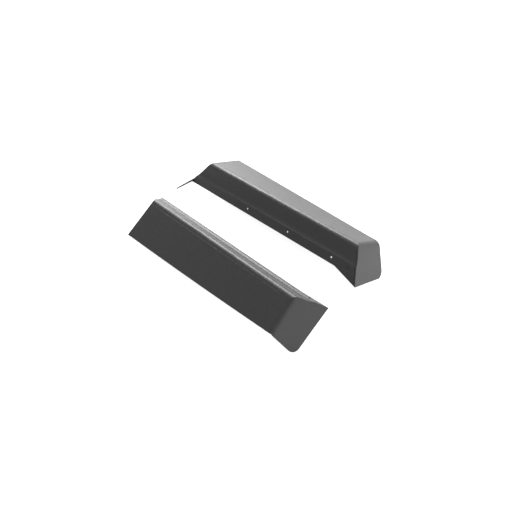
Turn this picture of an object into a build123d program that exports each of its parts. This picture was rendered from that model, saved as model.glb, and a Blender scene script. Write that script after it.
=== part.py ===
from build123d import *
import os
from math import cos, radians, sin, sqrt, tan

# A pair of thin formed edge guards, mirror images of each other, lying on a flat surface.
#
# A guard is modelled in a frame of its own, then laid down:
#     origin  where the top plate, the side wall and the toe cap would meet if no bend were rounded
#     +X      from the heel to the toe
#     +Y      from the side wall to the free edge of the top plate
#     +Z      out of the top plate, so a depth is measured down from it
# Lengths are in millimetres and angles in degrees.

# Sheet
sheet = 1.5

# Top plate: it twists a little between the toe and the heel
plate_length = 250.0
toe_width = 50.2
heel_width = 57.8
heel_skew = 1.4  # how far the free edge runs past the heel end of the bend
free_edge_bow = 0.8
toe_plate_tilt = -4.0
heel_plate_tilt = 2.1

# Crease pressed along the top plate, beside the bend to the side wall
crease_place = 7.6
crease_width = 1.0
crease_depth = 0.25

# Side wall
wall_splay = 9.7
wall_bend_radius = 7.0
wall_hollow = 0.7
ridge_depth = 23.2
ridge_step = 1.3
ridge_run = 1.6
toe_side_depth = 35.4
heel_side_depth = 33.9

# Toe end of the side wall, where its lower edge runs down to the cap's corner
toe_rise_start = 16.5
toe_wall_depth = 45.4

# Slanted heel end of the side wall
heel_waist = 13.8
heel_foot = 20.6
heel_curve = 14.0
heel_corner_radius = 1.5

# Ear turned out from the wall's heel corner: its tip from that corner, and its root along the heel end
ear_back = 4.4
ear_out = 25.0
ear_drop = 13.4
ear_root = 7.0
ear_bury = 1.1
ear_tip_radius = 0.35

# Toe cap
cap_splay = 22.5
cap_bend_radius = 9.0
cap_edge_depth = 45.2
cap_foot_width = 57.3
cap_corner_radius = 8.5
cap_contact = 48.0  # where its rounded corner touches the ground

# Seam between the side wall and the cap
seam_gap = 0.4
seam_top = 8.0

# Tab of the toe cap, folded back inside the side wall
tab_length = 20.0
tab_top = 25.4
tab_bottom = 34.4
tab_gap = 0.2

# Screw holes along the flange
hole_diameter = 2.4
hole_pitch = 69.6
hole_count = 3
first_hole = 24.8  # from the toe corner
hole_depth = 28.5

# Rivet through the tab and the wall
rivet_place = 0.4  # past the toe corner
rivet_depth = 29.4
rivet_shank = 2.0
rivet_clearance = 0.1
rivet_head = 3.2
rivet_head_height = 0.7
rivet_head_edge = 0.5
rivet_tail = 3.0
rivet_tail_height = 0.8

# How the left guard lies from the right one: its toe corner's place, and its turn
left_offset = (-4.8, -103.4)
left_turn = -1.8

# How far the raw bodies reach past the outlines that trim them
spare = 30.0
far = 90.0

# The heel end of the side wall, from the side
heel = -plate_length
heel_mid = (heel - heel_waist, -ridge_depth)
heel_low = (heel - heel_foot, -heel_side_depth)


def wall_y(depth):
    """The outer face of the side wall's upper part, before it is hollowed."""
    return -depth * tan(radians(wall_splay))


def flange_y(depth):
    """The outer face of the flange, below the ridge."""
    return wall_y(depth) - ridge_step


def cap_x(depth):
    """The outer face of the toe cap."""
    return depth * tan(radians(cap_splay))


def plate_z(width, tilt):
    """The outer face of the top plate, where it has this tilt."""
    return width * tan(radians(tilt))


def flange_plane(from_toe, depth):
    """A plane on the flange's outer face, facing out."""
    out = Vector(0, -cos(radians(wall_splay)), sin(radians(wall_splay)))
    return Plane(origin=(-from_toe, flange_y(depth), -depth), x_dir=(1, 0, 0), z_dir=out)


def section(x, tilt, inset):
    """The space under the top plate and behind the side wall, cut across at x."""
    low = toe_wall_depth + 2 * spare
    corner = (0, 0)
    ridge_start = ridge_depth - ridge_run / 2
    ridge_end = ridge_depth + ridge_run / 2
    with BuildSketch(Plane.YZ.offset(x)) as cut:
        with BuildLine():
            Line((far, plate_z(far, tilt)), corner)
            SagittaArc(corner, (wall_y(ridge_start), -ridge_start), wall_hollow)
            Polyline((wall_y(ridge_start), -ridge_start), (flange_y(ridge_end), -ridge_end),
                     (flange_y(low), -low), (far, -low), (far, plate_z(far, tilt)))
        make_face()
        fillet(cut.vertices().sort_by_distance(corner)[0], radius=wall_bend_radius)
        if inset:
            offset(amount=-inset, mode=Mode.REPLACE)
    return cut.sketch


def cover_body(inset):
    """The solid whose outside is the sheet's outer face, or a face at an inset inside it."""
    past_heel = heel - heel_foot - spare
    flat_toe = -2 * cap_bend_radius
    bend_start = -cap_bend_radius * tan(radians(90 - cap_splay) / 2)
    low = toe_wall_depth + spare
    with BuildPart() as body:
        add(section(spare, toe_plate_tilt, inset))
        add(section(flat_toe, toe_plate_tilt, inset))
        loft(ruled=True)
        add(section(flat_toe, toe_plate_tilt, inset))
        add(section(past_heel, plate_tilt(past_heel), inset))
        loft(ruled=True)
        with BuildSketch(Plane.XZ):
            with BuildLine():
                Polyline((past_heel, spare), (bend_start, spare), (bend_start, -inset))
                bend = JernArc((bend_start, -inset), (1, 0), cap_bend_radius - inset, cap_splay - 90)
                Polyline(bend @ 1, (cap_x(low) - inset / cos(radians(cap_splay)), -low),
                         (past_heel, -low), (past_heel, spare))
            make_face()
        extrude(amount=2 * far, dir=Vector(0, 1, plate_z(1, toe_plate_tilt)), both=True, mode=Mode.INTERSECT)
    return body.part


def plate_tilt(x):
    """The tilt of the top plate, which grows evenly from the toe to the heel."""
    return toe_plate_tilt - (heel_plate_tilt - toe_plate_tilt) * x / plate_length


def kept_outline():
    """The space inside the sheet's trimmed edges."""
    past_toe = cap_x(toe_wall_depth) + spare
    bend_reach = cap_bend_radius * tan(radians(90 - cap_splay) / 2)
    bend_depth = cap_bend_radius - sqrt(cap_bend_radius ** 2 - bend_reach ** 2)
    with BuildPart() as kept:
        # The side wall and its bend, from the side
        with BuildSketch(Plane.XZ.offset(-wall_bend_radius)):
            with BuildLine():
                Line((heel, spare), (heel, 0))
                FilletPolyline((heel, 0), heel_mid, heel_low, (-toe_rise_start, -toe_side_depth),
                               radius=(heel_curve, heel_corner_radius))
                Polyline((-toe_rise_start, -toe_side_depth), (cap_x(toe_wall_depth), -toe_wall_depth),
                         (past_toe, -toe_wall_depth), (past_toe, spare), (heel, spare))
            make_face()
        extrude(amount=2 * spare)
        # The top plate, from above
        with BuildSketch(Plane.XY.offset(spare)):
            with BuildLine():
                Line((heel, wall_bend_radius), (heel - heel_skew, heel_width))
                SagittaArc((heel - heel_skew, heel_width), (0, toe_width), free_edge_bow)
                Polyline((0, toe_width), (0, far), (past_toe, far), (past_toe, wall_bend_radius),
                         (heel, wall_bend_radius))
            make_face()
        extrude(amount=-(toe_wall_depth + 2 * spare))
        # The cap's side edge, lower edge and rounded corner, from the toe
        with BuildSketch(Plane.YZ) as around_cap:
            Rectangle(8 * far, 8 * far)
            with BuildSketch(Plane.YZ, mode=Mode.SUBTRACT) as cap:
                with BuildLine():
                    Polyline((-2 * spare, spare), (toe_width, spare), (toe_width, -bend_depth),
                             (cap_foot_width, -cap_edge_depth), (flange_y(toe_wall_depth), -toe_wall_depth),
                             (-2 * spare, -toe_wall_depth), (-2 * spare, spare))
                make_face()
                fillet(cap.vertices().sort_by_distance((cap_foot_width, -cap_edge_depth))[0],
                       radius=cap_corner_radius)
        extrude(amount=past_toe + spare, mode=Mode.SUBTRACT)
    return kept.part


def crease():
    """The groove of the crease, a thin bar sunk in the top plate's outer face."""
    bar_radius = (crease_width ** 2 / 4 + crease_depth ** 2) / (2 * crease_depth)
    rise = bar_radius - crease_depth
    with BuildPart() as bar:
        for x in (-2 * cap_bend_radius, heel - spare):
            with BuildSketch(Plane.YZ.offset(x)):
                with Locations((crease_place, plate_z(crease_place, plate_tilt(x)) + rise)):
                    Circle(bar_radius)
        loft(ruled=True)
    return bar.part


def seam():
    """The open seam where the side wall ends behind the toe cap."""
    behind = sheet / cos(radians(cap_splay))
    gap = seam_gap / cos(radians(cap_splay))
    low = toe_wall_depth + spare
    with BuildPart() as slit:
        with BuildSketch(Plane.XZ.offset(-sheet)):
            with BuildLine():
                Polyline((cap_x(seam_top) - behind, -seam_top), (cap_x(low) - behind, -low),
                         (cap_x(low) - behind - gap, -low), (cap_x(seam_top) - behind - gap, -seam_top),
                         close=True)
            make_face()
        extrude(amount=spare)
    return slit.part


def wall_point(x, depth):
    """A point of the flange's outer face."""
    return Vector(x, flange_y(depth), -depth)


def heel_ear():
    """The ear turned out from the wall's heel corner, a narrow triangle of the same sheet."""
    corner = wall_point(heel_low[0], -heel_low[1])
    up_the_end = (wall_point(heel_mid[0], -heel_mid[1]) - corner).normalized()
    tip = corner + Vector(-ear_back, -ear_out, -ear_drop)
    bury = (tip - corner).normalized() * ear_bury
    face = Plane(origin=corner, x_dir=tip - corner, z_dir=(tip - corner).cross(up_the_end))
    outline = [face.to_local_coords(p) for p in (corner - bury, tip, corner + up_the_end * ear_root - bury)]
    with BuildPart() as ear:
        with BuildSketch(face) as triangle:
            with BuildLine():
                Polyline(*[(p.X, p.Y) for p in outline], close=True)
            make_face()
            fillet(triangle.vertices().sort_by_distance((outline[1].X, outline[1].Y))[0], radius=ear_tip_radius)
        extrude(amount=-sheet)
    return ear.part


def toe_tab():
    """The tab that is folded back from the toe cap and lies against the inside of the flange."""
    outer = sheet / cos(radians(wall_splay)) + tab_gap
    with BuildPart() as tab:
        with BuildSketch(Plane.YZ.offset(-tab_length)):
            with BuildLine():
                Polyline((flange_y(tab_top) + outer, -tab_top), (flange_y(tab_bottom) + outer, -tab_bottom),
                         (flange_y(tab_bottom) + outer + sheet, -tab_bottom),
                         (flange_y(tab_top) + outer + sheet, -tab_top), close=True)
            make_face()
        extrude(amount=tab_length + spare)
        add(cover_body(sheet / 2), mode=Mode.INTERSECT)
    return tab.part


hole_places = [flange_plane(first_hole + hole_pitch * i, hole_depth) for i in range(hole_count)]
rivet_plane = flange_plane(-rivet_place, rivet_depth)
rivet_grip = 2 * sheet + tab_gap

# The formed sheet: top plate, side wall and toe cap in one, with the tab and the holes
with BuildPart() as shell:
    add(cover_body(0))
    add(cover_body(sheet), mode=Mode.SUBTRACT)
    add(kept_outline(), mode=Mode.INTERSECT)
    add(crease(), mode=Mode.SUBTRACT)
    add(seam(), mode=Mode.SUBTRACT)
    add(toe_tab())
    with Locations(*hole_places):
        Cylinder(radius=hole_diameter / 2, height=4 * sheet, mode=Mode.SUBTRACT)
    with Locations(rivet_plane):
        Cylinder(radius=rivet_shank / 2 + rivet_clearance, height=4 * rivet_grip, mode=Mode.SUBTRACT)

# The right guard's sheet also has the ear
with BuildPart() as eared_shell:
    add(shell.part)
    add(heel_ear())

# The rivet: a low domed head outside, a shank through wall and tab, and an upset tail inside
with BuildPart() as rivet:
    with BuildSketch(rivet_plane):
        Circle(rivet_head / 2)
    extrude(amount=rivet_head_height)
    fillet(rivet.edges().filter_by(GeomType.CIRCLE).sort_by(Axis(rivet_plane.origin, rivet_plane.z_dir))[-1],
           radius=rivet_head_edge)
    with BuildSketch(rivet_plane):
        Circle(rivet_shank / 2)
    extrude(amount=-rivet_grip)
    with BuildSketch(rivet_plane.offset(-rivet_grip)):
        Circle(rivet_tail / 2)
    extrude(amount=-rivet_tail_height)


def cap_point(around):
    """A point of the toe cap's rounded corner: 0 is on its side edge, 90 on its lower edge."""
    fall = (toe_wall_depth - cap_edge_depth) / (cap_foot_width - flange_y(toe_wall_depth))
    depth = cap_edge_depth + fall * cap_corner_radius + cap_corner_radius * (sin(radians(around)) - 1)
    return Vector(cap_x(depth), cap_foot_width + cap_corner_radius * (cos(radians(around)) - 1), -depth)


# A guard rests on its top plate's heel corner, its toe cap's rounded corner and its wall's heel corner
plate_foot = Vector(heel - heel_skew, heel_width, plate_z(heel_width, heel_plate_tilt) - sheet)
wall_foot = wall_point(heel_low[0], -heel_low[1]) + Vector(0, sheet, 0)
up = (plate_foot - wall_foot).cross(cap_point(cap_contact) - wall_foot)
up = up if up.Z > 0 else -up
ground = Plane(origin=wall_foot, x_dir=Vector(1, 0, 0) - up * (up.X / up.dot(up)), z_dir=up)
resting_shell = ground.to_local_coords(shell.part)
resting_eared_shell = ground.to_local_coords(eared_shell.part)
lift = Location((0, 0, -resting_shell.bounding_box().min.Z))
toe_corner = ground.to_local_coords(Vector(0, 0, 0))

# The right guard's toe corner is at zero, and the left guard is its mirror image without the ear
right_place = Location((-toe_corner.X, -toe_corner.Y, 0)) * lift
mirror_corner = Vector(toe_corner.X, -toe_corner.Y, 0).rotate(Axis.Z, left_turn)
left_spot = (left_offset[0] - mirror_corner.X, left_offset[1] - mirror_corner.Y, 0)
left_place = Location(left_spot, (0, 0, left_turn)) * lift
resting_rivet = ground.to_local_coords(rivet.part)

# The origin is under the middle of the pair
pair = [resting_eared_shell.moved(right_place), resting_shell.mirror(Plane.XZ).moved(left_place)]
middle = Compound(pair).bounding_box().center()
to_middle = Location((-middle.X, -middle.Y, 0))

os.makedirs("parts", exist_ok=True)

with BuildPart() as right_guard_shell:
    add(pair[0].moved(to_middle))
right_guard_shell.part.label = "right_guard_shell"
export_step(right_guard_shell.part, "parts/right_guard_shell.step")

with BuildPart() as right_toe_rivet:
    add(resting_rivet.moved(to_middle * right_place))
right_toe_rivet.part.label = "right_toe_rivet"
export_step(right_toe_rivet.part, "parts/right_toe_rivet.step")

with BuildPart() as left_guard_shell:
    add(pair[1].moved(to_middle))
left_guard_shell.part.label = "left_guard_shell"
export_step(left_guard_shell.part, "parts/left_guard_shell.step")

with BuildPart() as left_toe_rivet:
    add(resting_rivet.mirror(Plane.XZ).moved(to_middle * left_place))
left_toe_rivet.part.label = "left_toe_rivet"
export_step(left_toe_rivet.part, "parts/left_toe_rivet.step")
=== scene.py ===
from math import cos, radians, sin

import bmesh
import bpy
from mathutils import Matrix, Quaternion, Vector


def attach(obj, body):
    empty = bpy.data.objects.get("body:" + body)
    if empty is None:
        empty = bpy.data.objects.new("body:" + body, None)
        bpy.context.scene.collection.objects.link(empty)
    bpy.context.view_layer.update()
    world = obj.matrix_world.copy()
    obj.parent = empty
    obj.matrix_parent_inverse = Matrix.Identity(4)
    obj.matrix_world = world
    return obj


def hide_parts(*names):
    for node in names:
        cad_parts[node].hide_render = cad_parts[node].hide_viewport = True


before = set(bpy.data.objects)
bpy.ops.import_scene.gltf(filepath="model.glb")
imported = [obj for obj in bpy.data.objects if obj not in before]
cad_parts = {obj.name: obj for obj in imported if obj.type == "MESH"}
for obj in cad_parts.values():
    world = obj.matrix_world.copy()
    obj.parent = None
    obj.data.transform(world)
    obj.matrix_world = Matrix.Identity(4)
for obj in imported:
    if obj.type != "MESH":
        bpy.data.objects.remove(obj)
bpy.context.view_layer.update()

# Lengths are in metres, in the frame of the CAD model

# View
view_target = Vector((0.0135, -0.0100, 0.0))
view_azimuth = radians(44.07)
view_elevation = radians(51.33)
view_roll = radians(-0.50)
view_distance = 0.8173
view_lens = 45.79
sensor = 36.0
view_near = 0.01
view_far = 50

# Sheet edges
edge_round = 0.00018
edge_steps = 2
sharp_angle = radians(32)
merge_distance = 2e-6

# Shading: how strongly the larger faces set the normals, and within what distance faces count as even
face_weight = 80
face_threshold = 0.2

# Sheet finish: how many of each mark fit in a metre, and what they do
grain_scale = 1900.0
pebble_scale = 480.0
cloud_scale = 42.0
mark_scale = 6.0
mark_stretch = (14.0, 220.0, 220.0)
speck_dark = (0.012, 0.012, 0.0126, 1)
speck_light = (0.052, 0.052, 0.054, 1)
bloom_colour = (0.044, 0.044, 0.0455, 1)
bloom_share = 0.3
relief_height = 0.0002
relief_strength = 0.8
sheet_roughness = 0.29

# Rivet finish
wear_scale = 900.0
rivet_dark = (0.008, 0.008, 0.008, 1)
rivet_light = (0.02, 0.02, 0.021, 1)
rivet_roughness = 0.35

# Floor and surrounding light
floor_half = 6.0
floor_colour = (0.8, 0.8, 0.8, 1)
floor_roughness = 0.9
floor_glow = 0.8
white = (1, 1, 1, 1)
sky_strength = 0.58


class Socket:
    """An output in a node tree, with arithmetic."""

    def __init__(self, tree, link):
        self.tree = tree
        self.link = link

    def math(self, operation, first, second):
        return self.tree.node("ShaderNodeMath", {"operation": operation}, {0: first, 1: second})

    def __add__(self, other):
        return self.math("ADD", self, other)

    def __radd__(self, other):
        return self.math("ADD", other, self)

    def __mul__(self, other):
        return self.math("MULTIPLY", self, other)


class Material:
    """A node material, written as expressions."""

    def __init__(self, name):
        self.made = bpy.data.materials.new(name)
        self.made.use_nodes = True
        self.made.node_tree.nodes.clear()

    def node(self, kind, settings=None, values=None, output=0):
        made = self.made.node_tree.nodes.new(kind)
        for key, value in (settings or {}).items():
            setattr(made, key, value)
        for key, value in (values or {}).items():
            if isinstance(value, Socket):
                self.made.node_tree.links.new(value.link, made.inputs[key])
            else:
                made.inputs[key].default_value = value
        return Socket(self, made.outputs[output])

    def place(self):
        return self.node("ShaderNodeTexCoord", output="Object")

    def noise(self, place, scale, detail=2.0, roughness=0.5):
        return self.node("ShaderNodeTexNoise", {}, {"Vector": place, "Scale": scale, "Detail": detail,
                                                    "Roughness": roughness}, "Fac")

    def mix(self, share, first, second):
        made = self.made.node_tree.nodes.new("ShaderNodeMix")
        made.data_type = "RGBA"
        for key, value in ((0, share), (6, first), (7, second)):
            if isinstance(value, Socket):
                self.made.node_tree.links.new(value.link, made.inputs[key])
            else:
                made.inputs[key].default_value = value
        return Socket(self, made.outputs[2])

    def finish(self, shader):
        target = self.made.node_tree.nodes.new("ShaderNodeOutputMaterial")
        self.made.node_tree.links.new(shader.link, target.inputs["Surface"])
        return self.made


def guard_sheet():
    """Charcoal formed sheet: an even pebbled grain, cloudy sheen, faint handling marks."""
    m = Material("guard_sheet")
    place = m.place()
    grain = m.noise(place, grain_scale, 3.0, 0.6)
    pebble = m.noise(place, pebble_scale, 2.0, 0.6)
    cloud = m.noise(place, cloud_scale, 4.0, 0.6)
    drawn = m.node("ShaderNodeMapping", {}, {"Vector": place, "Scale": mark_stretch})
    marks = m.noise(drawn, mark_scale, 3.0, 0.65)
    speck = m.mix(grain * 0.4 + pebble * 0.6, speck_dark, speck_light)
    colour = m.mix(cloud * bloom_share, speck, bloom_colour)
    relief = grain * 0.5 + pebble * 0.6 + marks * 0.12
    bump = m.node("ShaderNodeBump", {}, {
        "Strength": relief_strength, "Distance": relief_height, "Height": relief})
    shader = m.node("ShaderNodeBsdfPrincipled", {}, {
        "Base Color": colour, "Normal": bump,
        "Roughness": sheet_roughness + pebble * 0.16 + cloud * 0.06 + marks * 0.05})
    return m.finish(shader)


def rivet_black():
    """Black satin paint on a small fastener."""
    m = Material("rivet_black")
    place = m.place()
    wear = m.noise(place, wear_scale, 3.0, 0.6)
    colour = m.mix(wear, rivet_dark, rivet_light)
    shader = m.node("ShaderNodeBsdfPrincipled", {}, {
        "Base Color": colour, "Roughness": rivet_roughness + wear * 0.2, "Metallic": 0.0})
    return m.finish(shader)


def finished_piece(name, node, body, material):
    """A node's shape with its sharp edges rounded a little, which takes the node's place."""
    shape = bmesh.new()
    shape.from_mesh(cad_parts[node].data)
    bmesh.ops.remove_doubles(shape, verts=shape.verts, dist=merge_distance)
    bmesh.ops.dissolve_degenerate(shape, dist=merge_distance, edges=shape.edges)
    mesh = bpy.data.meshes.new(name)
    shape.to_mesh(mesh)
    shape.free()
    for polygon in mesh.polygons:
        polygon.use_smooth = True
    mesh.set_sharp_from_angle(angle=sharp_angle)
    mesh.materials.clear()
    mesh.materials.append(material)
    piece = bpy.data.objects.new(name, mesh)
    bpy.context.scene.collection.objects.link(piece)
    rounding = piece.modifiers.new("edge rounding", "BEVEL")
    rounding.width = edge_round
    rounding.segments = edge_steps
    rounding.limit_method = "ANGLE"
    rounding.angle_limit = sharp_angle
    rounding.use_clamp_overlap = True
    rounding.harden_normals = True
    weighting = piece.modifiers.new("even shading", "WEIGHTED_NORMAL")
    weighting.mode = "FACE_AREA_WITH_ANGLE"
    weighting.weight = face_weight
    weighting.thresh = face_threshold
    weighting.keep_sharp = False
    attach(piece, body)
    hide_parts(node)


sheet_finish = guard_sheet()
rivet_finish = rivet_black()
for side in ("right", "left"):
    body = side + "_guard"
    finished_piece(body + "_cover", body + "_shell", body, sheet_finish)
    finished_piece(side + "_rivet", side + "_toe_rivet", body, rivet_finish)


def floor_finish():
    """White floor that keeps a soft shadow."""
    m = Material("floor_white")
    path = "ShaderNodeLightPath"
    camera_ray = m.node(path, output="Is Camera Ray")
    glossy_ray = m.node(path, output="Is Glossy Ray")
    clear_ray = m.node(path, output="Is Transmission Ray")
    seen = m.node("ShaderNodeMath", {"operation": "ADD", "use_clamp": True},
                  {0: camera_ray + glossy_ray, 1: clear_ray})
    shader = m.node("ShaderNodeBsdfPrincipled", {}, {
        "Base Color": floor_colour, "Roughness": floor_roughness, "Specular IOR Level": 0.0,
        "Emission Color": white, "Emission Strength": seen * floor_glow})
    return m.finish(shader)


def build_floor():
    """The wide plain floor."""
    shape = bmesh.new()
    bmesh.ops.create_grid(shape, x_segments=1, y_segments=1, size=floor_half)
    mesh = bpy.data.meshes.new("floor")
    shape.to_mesh(mesh)
    shape.free()
    mesh.materials.append(floor_finish())
    floor = bpy.data.objects.new("floor", mesh)
    bpy.context.scene.collection.objects.link(floor)


def area_light(name, direction, distance, size, power):
    """A round lamp that faces the object from this direction."""
    light = bpy.data.lights.new(name, "AREA")
    light.shape = "DISK"
    light.size = size
    light.energy = power
    lamp = bpy.data.objects.new(name, light)
    lamp.location = direction.normalized() * distance
    lamp.rotation_mode = "QUATERNION"
    lamp.rotation_quaternion = (-direction).to_track_quat("-Z", "Y")
    bpy.context.scene.collection.objects.link(lamp)


def build_world():
    """Even white light from all round."""
    world = bpy.data.worlds.new("studio")
    world.use_nodes = True
    background = world.node_tree.nodes["Background"]
    background.inputs["Color"].default_value = white
    background.inputs["Strength"].default_value = sky_strength
    bpy.context.scene.world = world


def build_camera():
    """The camera, set back from its target."""
    back = Vector((sin(view_azimuth) * cos(view_elevation), -cos(view_azimuth) * cos(view_elevation),
                   sin(view_elevation)))
    data = bpy.data.cameras.new("camera")
    data.sensor_width = sensor
    data.lens = view_lens
    data.clip_start = view_near
    data.clip_end = view_far
    camera = bpy.data.objects.new("camera", data)
    camera.location = view_target + back * view_distance
    camera.rotation_mode = "QUATERNION"
    camera.rotation_quaternion = (-back).to_track_quat("-Z", "Y") @ Quaternion((0, 0, 1), view_roll)
    bpy.context.scene.collection.objects.link(camera)
    bpy.context.scene.camera = camera


build_floor()
build_world()
build_camera()
area_light("back_light", Vector((-0.72, 0.75, 0.42)), distance=1.6, size=1.0, power=27)
area_light("high_light", Vector((-0.30, 0.85, 0.80)), distance=1.6, size=0.8, power=12)
area_light("toe_light", Vector((1.0, -0.1, 0.5)), distance=1.8, size=0.9, power=6.2)
bpy.context.scene.view_settings.view_transform = "Standard"
